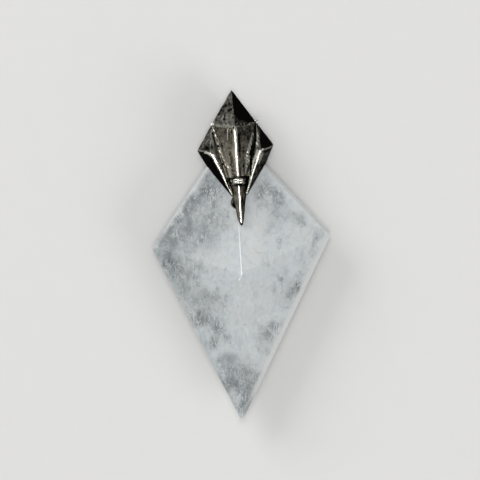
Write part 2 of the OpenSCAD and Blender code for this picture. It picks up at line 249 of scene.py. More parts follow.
# How much wider each side of the cast tip is than the solid's, the distance from the axis where it is
# fully so, the share by which both sides lie further left, and the places along y between which the
# widening starts above and ends below
TIP_SWELL, TIP_HALF, TIP_LEAN = 0.14, 0.35, 0.3
TIP_ABOVE, TIP_BELOW = (8.6, 6.2), (4.7, 5.2)

# Collar ring: its middle, the distances from there between which painted shade darkens its ends, and
# how clean it is
COLLAR_AXIS, COLLAR_ENDS, COLLAR_CLEANNESS = 0.3, (0.95, 1.2), 0.95

# Rounded nubs on the shoulders: place, radius, flatness and the brightness of the highlight painted
# on them, and where their flat side faces
NUBS = [
    ((4.26, 22.8, 4.46), 0.34, 1.0, 1.0),
    ((-3.62, 22.78, 4.68), 0.3, 0.5, 1.0),
    ((-3.42, 23.02, 4.66), 0.22, 0.6, 0.7),
]
NUB_LEAN = (-0.37, 0.37, 0.86)

# Half-widths, by distance below the head's point, of its front between the grooves and between the
# crests outside them
GROOVE_LINE = ((6.0, 11.1, 15.7, 18.6), (3.96, 2.95, 2.0, 1.3))
CREST_LINE = ((6.0, 11.1, 18.6), (3.96, 4.52, 1.37))

# Distance below the head's point at which the front starts, and how much it rises towards the sides
FRONT_BEND, FRONT_SLOPE = 7.0, 0.26

# Distances below the head's point between which the tarnish and painted shade change, for each
# part that changes
TONE_STEPS = {
    "shoulders": (3.4, 5.6), "shoulders_end": (6.7, 6.2), "strips": (6.3, 6.8), "shaft": (7.5, 12.0),
    "wings": (13.5, 11.0), "plates": (12.0, 13.4), "creases": (15.2, 15.6), "gap": (15.5, 15.9),
}

# Tarnish and painted shade on the head's outer faces, and the painted shade it gains where they look
# down, with their slant on each diagonal and with both, beyond the crests and on the plates, and loses
# on the wings and shoulders
OUTER_TONE, LOWER_TONE = 0.88, 0.06
RISING_TONE, FALLING_TONE, LOWER_FALLING_TONE = 1.2, 0.75, 0.4
BEYOND_TONE, PLATES_TONE = 0.09, 0.13
WINGS_TONE, SHOULDERS_TONE = 0.16, 0.15

# Tarnish and painted shade on the left and right of the head's front, what it gains on the upper
# part of each and the painted shade in the gap, the tarnish and painted shade on the strips left and
# right of the front, and the most that there is
FRONT_TONES, TOP_TONES, GAP_SHADE = (0.22, 0.4), (0.42, 0.34), 0.2
STRIP_TONES = (0.42, 0.34)
DEEPEST = 1.4

# Half-widths over which the front's and the crests' outlines are blurred
FRONT_BLUR, CREST_BLUR = 0.15, 0.1

# Tarnish on the small pieces, the painted shade it gains on faces to the right, towards the spike's
# sides and at the collar's ends, what it gains in marks, and the shares of the spike's half-width
# between which painted shade darkens its sides
SMALL_TONE, RIGHT_SHADE, BRINK_SHADE, MARK_TONE, ENDS_SHADE = 0.36, 0.2, 0.5, 0.8, 1.4
SPIKE_BRINK = (0.74, 0.96)

# An inner edge of the stone's front that reaches above this y is its upper ridge
RIDGE_PART = 10.0

# Painted highlights on the stone's front, a line along its upper ridge and a glint at its middle:
# their ends, half-width and the share that they start with. Then the heights between which the front
# starts
HIGHLIGHT_LINES = [
    ((0.02, 20.0), (-0.44, -3.8), 0.08, 0.35),
    ((-0.72, -4.25), (-1.05, -4.7), 0.07, 0.8),
]
STONE_FRONT = (6.2 * MM, 6.6 * MM)

# Bands along the stone's outline from the upper left side round to the upper right one: where each
# starts to fade, where it ends, and its strength. Then the places along y between which they fade
# towards the lower corner, and by what share
RIM_BANDS = [(0.1, 0.9, 0.36), (0.1, 0.3, 0.1), (0.45, 1.1, 0.9), (0.3, 1.3, 0.5)]
RIM_FADE = (-23.8, -26.5, 0.75)

# Warmer patch to the right of the spike's tip: place, half-widths and strength
WARM_PATCH = ((1.8, 2.0), (2.4, 5.5), 0.3)

# Size of the noise that sways the clouds' outlines, and how far it moves them
CLOUD_SWAY = (2.4, 0.8)

# Clear, darker clouds in the milky stone: place, half-widths, turn in degrees and depth
CLEAR_CLOUDS = [
    (-7.3, 9.7, 2.9, 0.75, 40, 1.0), (-8.6, 9.1, 1.3, 0.6, 51, 0.9), (-7.75, 9.9, 1.2, 0.6, 51, 0.92),
    (-6.6, 10.6, 1.3, 0.7, 51, 0.92), (-7.2, 11.0, 1.0, 0.7, 51, 0.8), (-7.0, 10.0, 2.2, 0.5, 40, 0.8),
    (-10.5, 6.7, 3.0, 0.8, 51, 0.85), (-4.6, 14.0, 2.0, 0.8, 51, 0.6), (-4.8, 12.0, 1.4, 1.1, 40, 0.5),
    (-13.9, 2.3, 1.0, 1.1, 0, 0.7), (-13.0, -0.5, 1.0, 1.0, 0, 0.8), (-4.9, 13.3, 1.6, 1.7, 0, 0.6),
    (-3.4, 11.6, 1.8, 1.3, 0, 0.4), (-9.3, 6.9, 1.3, 2.2, -20, 0.4), (-9.6, 5.0, 1.7, 1.6, 0, 0.75),
    (-11.9, 4.4, 2.2, 1.5, 30, 0.95), (-13.6, 2.7, 1.2, 1.2, 0, 0.95), (-9.4, 2.6, 2.4, 1.8, 0, 0.25),
    (-12.1, 1.3, 0.9, 0.7, 0, 0.45), (-6.6, 2.2, 2.6, 1.3, 0, 0.3), (-13.2, 0.4, 1.4, 1.4, 0, 0.85),
    (-12.3, -2.0, 1.6, 2.2, 20, 0.98), (-11.9, -3.4, 0.8, 1.2, 25, 0.5), (-10.9, -5.2, 1.7, 2.0, 25, 0.75),
    (-10.4, -1.4, 2.2, 2.0, 0, 0.4), (-9.0, -4.8, 2.0, 1.8, 0, 0.25), (-8.7, -7.4, 2.0, 1.6, -30, 0.5),
    (-9.8, -3.0, 1.6, 1.8, 0, 0.3), (-10.3, -8.8, 1.2, 2.4, 25, 0.3), (-2.2, 5.8, 1.0, 1.6, 0, 0.3),
    (-7.1, 4.6, 2.6, 2.6, 0, 0.48), (-5.0, 6.6, 1.9, 1.6, 0, 0.5), (-4.8, 3.4, 2.2, 1.8, 30, 0.35),
    (-4.3, 9.3, 2.6, 1.6, 0, 0.12), (-6.6, -7.0, 2.4, 1.9, -30, 0.6), (-4.2, -7.6, 2.2, 1.5, -30, 0.3),
    (-7.9, -10.7, 1.3, 1.2, 0, 0.95), (-5.3, -12.4, 2.2, 0.9, -52, 0.88), (-8.0, -12.0, 0.8, 1.3, 25, 0.5),
    (-6.6, -15.0, 1.3, 1.3, 0, 0.5), (-3.9, -18.2, 1.8, 1.3, 0, 0.75), (-4.2, -20.3, 1.3, 1.2, 0, 0.7),
    (-4.8, -18.9, 0.9, 0.9, 0, 0.35), (-1.2, -19.2, 1.8, 1.2, 0, 0.45), (-3.7, -22.3, 1.5, 1.1, 0, 1.0),
    (-4.3, -22.8, 0.9, 1.8, 26, 0.8), (-0.2, -22.3, 1.3, 1.3, 30, 0.95), (0.1, -23.8, 1.0, 1.4, 0, 0.9),
    (-1.4, -24.0, 1.6, 1.2, 0, 0.7), (-2.1, -22.6, 1.3, 1.2, 0, 0.5), (1.2, -21.2, 0.9, 1.2, 0, 0.6),
    (-1.9, -20.7, 1.5, 0.7, 0, 0.85), (-1.3, -26.2, 1.3, 1.6, 0, 1.0), (-1.3, -26.9, 0.9, 1.4, 0, 0.9),
    (-0.5, -24.4, 0.9, 1.2, 0, 0.8), (2.5, -14.5, 1.3, 1.1, 20, 0.62), (1.9, -13.6, 0.8, 0.8, 0, 0.35),
    (2.2, -16.2, 0.8, 0.9, 0, 0.45), (5.2, -13.4, 0.9, 1.3, -30, 0.5), (4.2, -13.5, 1.7, 0.8, 15, 0.65),
    (4.0, -15.5, 1.0, 1.1, 45, 0.35), (2.9, -17.6, 0.9, 1.0, 0, 0.35), (8.6, -6.5, 1.1, 1.2, 0, 1.0),
    (7.4, -7.9, 1.1, 2.2, -35, 0.65), (7.4, -9.7, 0.9, 1.1, -30, 0.35), (6.8, -4.5, 0.7, 0.7, 0, 0.4),
    (6.2, -6.2, 1.6, 2.2, -30, 0.35), (7.3, -3.8, 0.7, 0.6, 0, 0.45), (9.9, -4.3, 0.9, 1.2, -30, 0.5),
    (7.1, 9.9, 1.1, 1.1, 0, 0.9), (6.6, 8.3, 1.0, 1.0, 0, 0.8), (6.2, 6.6, 1.6, 1.8, 0, 0.6),
    (4.7, 11.4, 1.8, 1.3, 0, 0.6), (3.8, 9.6, 1.7, 1.5, 0, 0.4), (9.5, 6.3, 1.6, 1.1, -35, 0.45),
    (10.5, 5.0, 1.2, 0.9, -35, 0.4), (6.2, 4.4, 2.4, 1.6, 0, 0.28), (4.8, 3.6, 0.7, 1.9, -42, 0.5),
    (7.2, 1.2, 1.2, 0.6, 30, 0.5), (12.9, 2.7, 0.9, 1.0, 0, 0.45), (12.7, 0.0, 0.6, 2.0, 0, 0.5),
    (14.0, 2.1, 0.7, 0.7, 0, 0.45), (10.6, -1.6, 1.6, 0.9, 35, 0.4), (4.4, -3.4, 2.2, 1.0, 10, 0.25),
    (-6.5, 8.2, 6.0, 4.4, 40, 0.36), (-11.5, 2.2, 3.2, 3.6, 0, 0.58), (-3.0, 5.2, 2.4, 2.4, 0, 0.28),
    (-4.8, 11.2, 2.2, 2.2, 0, 0.45), (-5.8, -9.8, 3.0, 3.5, -20, 0.26), (-2.6, -20.2, 3.0, 2.6, 0, 0.25),
    (-5.2, 10.6, 1.5, 1.5, 0, 0.65), (-12.8, 3.4, 1.8, 1.4, 30, 0.35), (-4.0, -13.0, 2.0, 3.0, 0, 0.2),
    (8.5, 5.5, 3.2, 2.0, -35, 0.2), (-6.8, -15.5, 2.2, 1.6, 30, 0.2),
]

# Noise in the stone and in the silver: scale, detail, roughness, distortion, and the share by which it
# is scaled along y and the turn in degrees
STONE_NOISE = {
    "swell": (170.0, 5.0, 0.6, 0.6),
    "broad": (310.0, 9.0, 0.62, 0.9),
    "grained": (680.0, 6.0, 0.6, 1.2, 0.7, -40.0),
    "fine": (1700.0, 6.0, 0.68, 0.3),
    "veil": (620.0, 6.0, 0.6, 1.6, 0.6, 40.0),
    "streaks": (850.0, 6.0, 0.7, 1.3, 0.4, -38.0),
    "chips": (1500.0, 4.0, 0.62, 1.8),
    "scratches": (6000.0, 2.0, 0.55, 0.0, 0.06, 24.0),
}
SILVER_NOISE = {
    "blotches": (750.0, 4.0, 0.6),
    "mottles": (2100.0, 3.0, 0.6, 0.4),
    "grain": (4600.0, 3.0, 0.6),
    "spotted": (900.0, 2.0),
    "drawn": (2600.0, 3.0, 0.55, 0.0, 0.16),
}
SPOT_SCALE = 2700.0

# Shares of red, green and blue that the milk has where it is warm, pale and dull, and the paper where
# it is darker
WARM_SHARES = (1.0, 0.965, 0.935)
PALE_SHARES = (1.17, 1.17, 1.17)
DULL_SHARES = (0.79, 0.79, 0.79)
PAPER_SHARES = (0.97, 0.97, 0.97)

# Colours of the stone's deepest clouds, ground edges, warm patch, painted highlights and painted
# shade in the drilled hole, of the cement from dark to pale, and of the sky
DEEP_COLOUR = (0.07, 0.085, 0.088, 1.0)
GROUND_COLOUR = (0.585, 0.59, 0.575, 1.0)
WARM_COLOUR = (0.66, 0.655, 0.62, 1.0)
HIGHLIGHT_COLOUR = (0.9, 0.93, 0.94, 1.0)
HOLE_SHADE_COLOUR = (0.012, 0.012, 0.011, 1.0)
CEMENT_COLOURS = ((0.3, 0.31, 0.31, 1.0), (0.5, 0.52, 0.52, 1.0))
SKY_COLOUR = (0.97, 0.98, 1.0, 1.0)

# Roughness of the stone where it is least polished and of worn silver
DULL_STONE, WORN_SILVER = 0.46, 0.2

# Places along y between which the pin's painted black shade gives way to its cement
CEMENT_EDGE = (8.7 * MM, 9.1 * MM)

# Softboxes, in metres: name, place, size, and the setting and the share of it that give the power
SOFTBOXES = [
    ("overhead", (0.0, 0.22, 1.2), (0.24, 0.3), "overhead", 0.95),
    ("overhead_low", (0.0, -0.165, 1.2), (0.24, 0.17), "overhead", 0.82),
    ("upper_left", (-0.75, 0.75, 0.55), (0.9, 0.6), "upper_left", 1.0),
    ("lower_right", (0.8, -0.7, 0.5), (0.8, 0.5), "lower_right", 1.0),
]

# Floor: how far it lies under the pendant, and its radius in metres. Camera: its place over the
# pendant, its lens and its sensor
FLOOR_DROP, FLOOR_RADIUS = 0.01, 3.0
CAMERA_PLACE = (-0.247, 2.29)
LENS, SENSOR = 300.0, 36.0


# Settings

class CrystalSettings(bpy.types.PropertyGroup):
    """Colours and finish of the cut stone."""

    milk_colour: FloatVectorProperty(
        name="Milk", description="Colour of the milky stone",
        subtype="COLOR", min=0.0, max=1.0, default=(0.523, 0.561, 0.573),
    )
    cloud_colour: FloatVectorProperty(
        name="Clear clouds", description="Colour of the clearer, darker clouds",
        subtype="COLOR", min=0.0, max=1.0, default=(0.15, 0.17, 0.18),
    )
    wisp_colour: FloatVectorProperty(
        name="Wisps", description="Colour of the fine white wisps and of the ground edges",
        subtype="COLOR", min=0.0, max=1.0, default=(0.72, 0.74, 0.74),
    )
    edge_radius: FloatProperty(
        name="Edge", description="Width of the rounding along the cut edges",
        unit="LENGTH", subtype="DISTANCE", precision=6, min=0.00002, max=0.0003, default=0.00011,
    )
    cell: FloatProperty(
        name="Cell", description="Size of the mesh cells that carry the clouds",
        unit="LENGTH", subtype="DISTANCE", precision=6, min=0.0004, max=0.003, default=0.0005,
    )
    polish: FloatProperty(
        name="Roughness", description="Roughness of the polished faces",
        subtype="FACTOR", min=0.0, max=1.0, default=0.36,
    )


class SilverSettings(bpy.types.PropertyGroup):
    """Colours and finish of the cast silver."""

    tarnish_colour: FloatVectorProperty(
        name="Tarnish", description="Colour of the black tarnish in the hollows",
        subtype="COLOR", min=0.0, max=1.0, default=(0.0045, 0.0042, 0.0038),
    )
    skin_colour: FloatVectorProperty(
        name="Skin", description="Colour of the brown-grey skin on the faces",
        subtype="COLOR", min=0.0, max=1.0, default=(0.28, 0.255, 0.2),
    )
    outer_colour: FloatVectorProperty(
        name="Outer skin", description="Colour of the greyer skin on the outer faces",
        subtype="COLOR", min=0.0, max=1.0, default=(0.264, 0.26, 0.222),
    )
    silver_colour: FloatVectorProperty(
        name="Worn silver", description="Colour of the bright metal on worn edges",
        subtype="COLOR", min=0.0, max=1.0, default=(0.67, 0.65, 0.58),
    )
    cell: FloatProperty(
        name="Cell", description="Size of the mesh cells of the cap's cast skin",
        unit="LENGTH", subtype="DISTANCE", precision=6, min=0.00008, max=0.0003, default=0.000105,
    )
    unevenness: FloatProperty(
        name="Unevenness", description="Depth of the waves in the cast faces",
        unit="LENGTH", subtype="DISTANCE", precision=6, min=0.0, max=0.0002, default=0.00005,
    )
    pit_depth: FloatProperty(
        name="Pits", description="Depth of the small casting pits",
        unit="LENGTH", subtype="DISTANCE", precision=6, min=0.0, max=0.0003, default=0.00011,
    )
    bead_radius: FloatProperty(
        name="Beads", description="Radius of the cast beads along the grooves",
        unit="LENGTH", subtype="DISTANCE", precision=6, min=0.00005, max=0.0003, default=0.00018,
    )
    bead_pitch: FloatProperty(
        name="Bead pitch", description="Distance from one bead to the next",
        unit="LENGTH", subtype="DISTANCE", precision=6, min=0.0002, max=0.001, default=0.00036,
    )
    seed: IntProperty(name="Seed", description="Choice of the casting's random marks", default=3)


class StageSettings(bpy.types.PropertyGroup):
    """Floor, lights and camera."""

    floor_colour: FloatVectorProperty(
        name="Floor", description="Colour of the plain floor",
        subtype="COLOR", min=0.0, max=1.0, default=(0.74, 0.735, 0.72),
    )
    room: FloatProperty(
        name="Room light", description="Brightness of the room all round", min=0.0, default=0.34,
    )
    overhead: FloatProperty(
        name="Overhead", description="Power of the narrow light overhead", unit="POWER", min=0.0,
        default=2.9,
    )
    upper_left: FloatProperty(
        name="Upper left", description="Power of the broad light at the upper left", unit="POWER",
        min=0.0, default=7.4,
    )
    lower_right: FloatProperty(
        name="Lower right", description="Power of the broad light at the lower right", unit="POWER",
        min=0.0, default=4.9,
    )
    view_width: FloatProperty(
        name="View", description="Width of what the camera sees", unit="LENGTH", subtype="DISTANCE",
        min=0.05, default=0.084,
    )
    view_turn: FloatProperty(
        name="Turn", description="Turn of the camera about its own axis", subtype="ANGLE",
        default=math.radians(-4.6),
    )


# Shapes

def merged_copy(node):
    """bmesh of a CAD node's solid, with its loose triangles merged and its flat faces whole."""
    solid = bmesh.new()
    solid.from_mesh(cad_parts[node].data)
    bmesh.ops.remove_doubles(solid, verts=solid.verts, dist=MERGE)
    bmesh.ops.dissolve_limit(solid, angle_limit=UNEVEN, verts=solid.verts, edges=solid.edges)
    solid.normal_update()
    return solid


def sharp_lines(solid):
    """The solid's sharp edges as two lists of end points: those that stand out, those that lie in."""
    out, hollow = [], []
    for edge in solid.edges:
        if len(edge.link_faces) != 2:
            continue
        turn = edge.calc_face_angle_signed(0.0)
        if abs(turn) > CREASED:
            ends = [np.array(v.co) for v in edge.verts]
            (out if turn > 0 else hollow).append(ends)
    return out, hollow


def distance_to_lines(points, lines):
    """Distance of each point from the nearest of some straight lines."""
    nearest = np.full(len(points), np.inf)
    for start, end in lines:
        along = end - start
        share = np.clip((points - start) @ along / max(along @ along, 1e-18), 0, 1)
        away = points - start - share[:, None] * along
        nearest = np.minimum(nearest, np.linalg.norm(away, axis=1))
    return nearest


def nearness(points, lines, width):
    """How near each point is to some straight lines, from 0 to 1, over a width in millimetres."""
    return np.exp(-(distance_to_lines(points, lines) / (width * MM)) ** 2)


def from_hole(points):
    """Distance of each point from the drilled hole's axis, in millimetres."""
    return np.hypot(points[:, 0] / MM - HOLE[0], points[:, 1] / MM - HOLE[1])


def smooth_step(low, high, values):
    """0 at low, 1 at high, and a smooth change between them."""
    t = np.clip((values - low) / (high - low), 0, 1)
    return t * t * (3 - 2 * t)


def waves(points, size, seed, octaves=3):
    """Fractal noise from about -1 to 1 at some points, with features of one size in metres."""
    shift = Vector((seed * 7.3, seed * 3.1, seed * 5.7))
    return np.array([
        noise.fractal(Vector(p) / size + shift, 1.0, 2.1, octaves, noise_basis="PERLIN_ORIGINAL")
        for p in points
    ])


def pits(points, size, seed):
    """How deep each point lies in a round pit, from 0 to 1, with pits about one size apart."""
    shift = Vector((seed * 2.9, seed * 6.1, seed * 4.3))
    near = np.array([noise.voronoi(Vector(p) / size + shift)[0][0] for p in points])
    return 1 - smooth_step(0.12, 0.34, near)


def rows_of(items, name):
    """A place or a direction of each item as an array."""
    flat = np.zeros(len(items) * 3)
    items.foreach_get(name, flat)
    return flat.reshape(-1, 3)


def points_of(mesh):
    """A mesh's vertices as an array."""
    return rows_of(mesh.vertices, "co")


def normals_of(mesh):
    """A mesh's vertex normals as an array."""
    return rows_of(mesh.vertex_normals, "vector")


def move_points(mesh, places):
    """Puts a mesh's vertices at new places."""
    mesh.vertices.foreach_set("co", places.ravel())
    mesh.update()


def paint(mesh, **shares):
    """Stores numbers for each vertex, by the names that the materials read them by."""
    for name, values in shares.items():
        layer = mesh.attributes.new(name, "FLOAT", "POINT")
        layer.data.foreach_set("value", values.astype(np.float32))


def even_cells(solid, name, cell, rounds):
    """Mesh of small even cells over a solid, with its edges rounded by some rounds of smoothing."""
    blank = bpy.data.meshes.new(name)
    solid.to_mesh(blank)
    solid.free()
    maker = bpy.data.objects.new(name, blank)
    bpy.context.scene.collection.objects.link(maker)
    remesh = maker.modifiers.new("Cells", "REMESH")
    remesh.mode = "VOXEL"
    remesh.voxel_size = cell
    depsgraph = bpy.context.evaluated_depsgraph_get()
    celled = bpy.data.meshes.new_from_object(maker.evaluated_get(depsgraph))
    bpy.data.objects.remove(maker)
    bpy.data.meshes.remove(blank)
    smooth = bmesh.new()
    smooth.from_mesh(celled)
    for _ in range(rounds):
        bmesh.ops.smooth_vert(
            smooth, verts=smooth.verts, factor=0.5,
            use_axis_x=True, use_axis_y=True, use_axis_z=True,
        )
    smooth.to_mesh(celled)
    smooth.free()
    celled.name = name
    celled.shade_smooth()
    return celled


def press_in(mesh, node, depth, worn):
    """Moves each vertex inward by its depth, less where it is worn or carries a painted highlight, and
    keeps it in the node's box.
    """
    low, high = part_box(node)
    depth = depth * (1 - WORN_FLAT * worn)
    places = points_of(mesh) - normals_of(mesh) * depth[:, None]
    move_points(mesh, np.clip(places, np.array(low), np.array(high)))


def drawn_share(places, normals, lines):
    """How strongly some drawn lines cover each vertex of a front face, from 0 to 1."""
    drawn = np.zeros(len(places))
    ripple = 1 + LINE_RIPPLE * waves(places, RIPPLE_SIZE * MM, seed=11, octaves=2)
    speckle = smooth_step(-0.12, 0.18, waves(places, SPECKLE_SIZE * MM, seed=12, octaves=2))
    facing = smooth_step(*LINE_FACING, normals[:, 2])
    flat = places[:, :2] / MM
    for share, speckled, path in lines:
        for start, end in zip(path, path[1:]):
            origin, along = np.array(start[:2]), np.array(end[:2]) - start[:2]
            t = np.clip((flat - origin) @ along / (along @ along), 0, 1)
            away = np.linalg.norm(flat - origin - t[:, None] * along, axis=1)
            half = (start[2] + (end[2] - start[2]) * t) * ripple
            covered = 1 - smooth_step(half - LINE_BLUR, half + LINE_BLUR, away)
            broken = 1 - speckled * (1 - speckle)
            drawn = np.maximum(drawn, share * covered * broken)
    return drawn * facing


def finish_piece(mesh, name, node, material):
    """Puts a finished mesh in the scene in place of its CAD node."""
    mesh.materials.clear()
    mesh.materials.append(material)
    piece = bpy.data.objects.new(name, mesh)
    bpy.context.scene.collection.objects.link(piece)
    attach(piece, BODY)
    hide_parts(node)


# Materials

def fill(tree, node, inputs):
    """Links each named input of a node to a socket, or sets it to a plain value."""
    for name, value in inputs.items():
        if isinstance(value, bpy.types.NodeSocket):
            tree.links.new(value, node.inputs[name])
        else:
            node.inputs[name].default_value = value


def add_node(tree, kind, inputs, output, **options):
    """Adds a node with its options set and its inputs filled, and returns one of its outputs."""
    node = tree.nodes.new("ShaderNode" + kind)
    for name, value in options.items():
        setattr(node, name, value)
    fill(tree, node, inputs)
    return node.outputs[output]


def painted(tree, name):
    """A number that is painted on the mesh."""
    return add_node(tree, "Attribute", {}, "Fac", attribute_name=name)


def axis_of(tree, place, axis):
    """One of a place's coordinates."""
    return add_node(tree, "SeparateXYZ", {"Vector": place}, axis)


def noise_node(tree, place, scale, detail, roughness=0.55, distortion=0.0, stretch=1.0, turn=0.0):
    """Noise from 0 to 1, with its place scaled by stretch along y and turned by some degrees."""
    place = add_node(tree, "Mapping", {
        "Vector": place, "Scale": (1.0, stretch, 1.0), "Rotation": (0.0, 0.0, math.radians(turn)),
    }, "Vector")
    return add_node(tree, "TexNoise", {
        "Vector": place, "Scale": scale, "Detail": detail, "Roughness": roughness,
        "Distortion": distortion,
    }, "Fac")


def calc(tree, operation, *values):
    """One step of arithmetic."""
    return add_node(tree, "Math", dict(enumerate(values)), 0, operation=operation)


def product(tree, first, *others):
    """Some values multiplied with each other."""
    for other in others:
        first = calc(tree, "MULTIPLY", first, other)
    return first


def weighted(tree, total, *parts):
    """A first number and some values, each times its weight, added up."""
    for value, weight in parts:
        total = calc(tree, "MULTIPLY_ADD", value, weight, total)
    return total


def centred(tree, value, span):
    """A value from 0 to 1 spread over a span about zero."""
    return weighted(tree, -span / 2, (value, span))


def ranged(tree, value, low, high, to_low=0.0, to_high=1.0):
    """A value carried smoothly from one range to another."""
    return add_node(tree, "MapRange", {
        "Value": value, "From Min": low, "From Max": high, "To Min": to_low, "To Max": to_high,
    }, "Result", interpolation_type="SMOOTHSTEP")


def blend(tree, share, first, second):
    """Colour between two others."""
    inputs = {"Factor": share, "A": first, "B": second}
    return add_node(tree, "Mix", inputs, "Result", data_type="RGBA")


def bumped(tree, height, strength, distance):
    """Normal that follows a height."""
    inputs = {"Height": height, "Strength": strength, "Distance": distance}
    return add_node(tree, "Bump", inputs, "Normal")


def opaque(colour, shares=(1.0, 1.0, 1.0)):
    """A setting's colour with a full alpha, each of its channels times a share."""
    return (*(channel * share for channel, share in zip(colour, shares)), 1.0)


def new_material(name):
    """A material, its node tree, its shader and Object coordinates."""
    material = bpy.data.materials.new(name)
    material.use_nodes = True
    tree = material.node_tree
    return material, tree, tree.nodes["Principled BSDF"], add_node(tree, "TexCoord", {}, "Object")


def milky_quartz(settings):
    """Polished milky stone with clearer clouds, white flecks and wisps, ground edges, painted highlights,
    and painted shade in the drilled hole.
    """
    material, tree, shader, place = new_material("milky_quartz")
    noises = {name: noise_node(tree, place, *row) for name, row in STONE_NOISE.items()}
    broad, grained, fine, veil = (noises[name] for name in ("broad", "grained", "fine", "veil"))
    milk = settings.milk_colour
    clear = opaque(settings.cloud_colour)
    white = opaque(settings.wisp_colour)
    cloud = painted(tree, "cloud")
    lumps = centred(tree, broad, 2.0)
    veils = centred(tree, grained, 2.4)
    specks = centred(tree, fine, 1.2)
    soft = weighted(tree, 0.0, (cloud, 1.0), (lumps, 0.5), (veils, 0.2))
    spots = weighted(tree, 0.0, (cloud, 0.9), (lumps, 1.0), (veils, 1.0), (specks, 1.0))
    deep = weighted(tree, 0.0, (cloud, 1.0), (lumps, 0.6), (veils, 0.3))
    thinned = ranged(tree, veil, 0.38, 0.6, 0.5, 1.0)
    ridges = calc(tree, "ABSOLUTE", centred(tree, noises["streaks"], 1.0))
    near = ranged(tree, cloud, 0.1, 0.5, 0.34, 0.75)
    wisps = product(tree, ranged(tree, ridges, 0.03, 0.0), ranged(tree, broad, 0.4, 0.6), near)
    flecks = product(tree, ranged(tree, noises["chips"], 0.62, 0.7, 0.0, 0.8), near)
    ground = product(tree, painted(tree, "rim"), ranged(tree, broad, 0.3, 0.6, 0.7, 1.0))
    layers = [
        (ranged(tree, noises["swell"], 0.35, 0.65), opaque(milk, WARM_SHARES)),
        (ranged(tree, grained, 0.48, 0.7, 0.0, 0.75), opaque(milk, PALE_SHARES)),
        (ranged(tree, veil, 0.52, 0.34, 0.0, 0.6), opaque(milk, DULL_SHARES)),
        (product(tree, ranged(tree, soft, 0.0, 1.05, 0.0, 0.8), thinned), clear),
        (ranged(tree, spots, 0.1, 1.1, 0.0, 0.6), clear),
        (ranged(tree, deep, 0.8, 1.35, 0.0, 0.65), DEEP_COLOUR),
        (wisps, white),
        (flecks, white),
        (ground, GROUND_COLOUR),
        (painted(tree, "warmth"), WARM_COLOUR),
    ]
    layers += [(highlight_line(tree, place, *line), HIGHLIGHT_COLOUR) for line in HIGHLIGHT_LINES]
    layers += [(painted(tree, "bore"), HOLE_SHADE_COLOUR)]
    colour = opaque(milk)
    for share, over in layers:
        colour = blend(tree, share, colour, over)
    height = weighted(tree, 0.0, (broad, 0.5), (noises["scratches"], 0.06))
    fill(tree, shader, {
        "Base Color": colour,
        "Roughness": ranged(tree, fine, 0.3, 0.7, settings.polish, DULL_STONE),
        "Normal": bumped(tree, height, 0.25, 0.08 * MM),
        "IOR": 1.544,
        "Subsurface Weight": 0.18,
        "Subsurface Radius": (0.9, 1.0, 1.05),
        "Subsurface Scale": 0.6 * MM,
    })
    return material


def highlight_line(tree, place, start, end, half, faint):
    """How much of a straight painted highlight line covers a place on the front; faint is its start's
    share.
    """
    start, end = Vector(start) * MM, Vector(end) * MM
    half *= MM
    length = (end - start).length
    turn = math.atan2(end.y - start.y, end.x - start.x)
    place = add_node(tree, "Mapping", {
        "Vector": place, "Location": (start.x, start.y, 0.0), "Rotation": (0.0, 0.0, turn),
    }, "Vector", vector_type="TEXTURE")
    along = axis_of(tree, place, "X")
    across = calc(tree, "ABSOLUTE", axis_of(tree, place, "Y"))
    return product(
        tree,
        ranged(tree, across, half * 1.4, half * 0.6),
        ranged(tree, along, -half, half),
        ranged(tree, along, length + half, length - half),
        ranged(tree, along, length * 0.5, length * 0.95, faint, 1.0),
        ranged(tree, axis_of(tree, place, "Z"), *STONE_FRONT),
    )


def aged_silver(settings, name, cleanness=0.0):
    """Cast silver with black tarnish in its hollows and painted shade, a brown-grey skin, and bright worn
    edges and painted highlights.
    """
    material, tree, shader, place = new_material(name)
    noises = {name: noise_node(tree, place, *row) for name, row in SILVER_NOISE.items()}
    grain = noises["grain"]
    aged = 1 - cleanness
    spots = add_node(tree, "TexVoronoi", {"Vector": place, "Scale": SPOT_SCALE}, "Distance")
    spotted = ranged(tree, noises["spotted"], 0.5, 0.62)
    specks = product(tree, ranged(tree, spots, 0.2, 0.06), spotted)
    depth = weighted(
        tree, -1.3 - cleanness, (painted(tree, "tarnish"), 1.0), (painted(tree, "hollow"), 0.7),
        (noises["blotches"], 0.8), (noises["mottles"], 1.0), (grain, 0.5), (noises["drawn"], 0.3),
        (specks, 0.7),
    )
    kept = ranged(tree, depth, 0.95, 0.3, 0.05, 0.4)
    rubbed = product(tree, painted(tree, "edge"), kept, grain)
    bright = weighted(
        tree, cleanness - 0.125 * aged, (painted(tree, "worn"), 1.0), (rubbed, 1.0),
        (specks, -0.15 * aged), (grain, 0.25 * aged),
    )
    bright = ranged(tree, bright, 0.05, 0.95)
    outer, skin = opaque(settings.outer_colour), opaque(settings.skin_colour)
    colour = blend(tree, painted(tree, "front"), outer, skin)
    colour = blend(tree, ranged(tree, depth, 0.0, 1.0), colour, opaque(settings.tarnish_colour))
    skin_gloss = ranged(tree, grain, 0.3, 0.7, 0.34, 0.52)
    gloss = {"Factor": bright, "A": skin_gloss, "B": WORN_SILVER}
    height = weighted(tree, 0.0, (grain, 0.6), (specks, -1.0))
    fill(tree, shader, {
        "Base Color": blend(tree, bright, colour, opaque(settings.silver_colour)),
        "Roughness": add_node(tree, "Mix", gloss, "Result"),
        "Normal": bumped(tree, height, 0.5 - 0.45 * cleanness, 0.03 * MM),
        "Metallic": 1.0,
        "Specular Tint": (0.5, 0.5, 0.5, 1.0),
    })
    return material


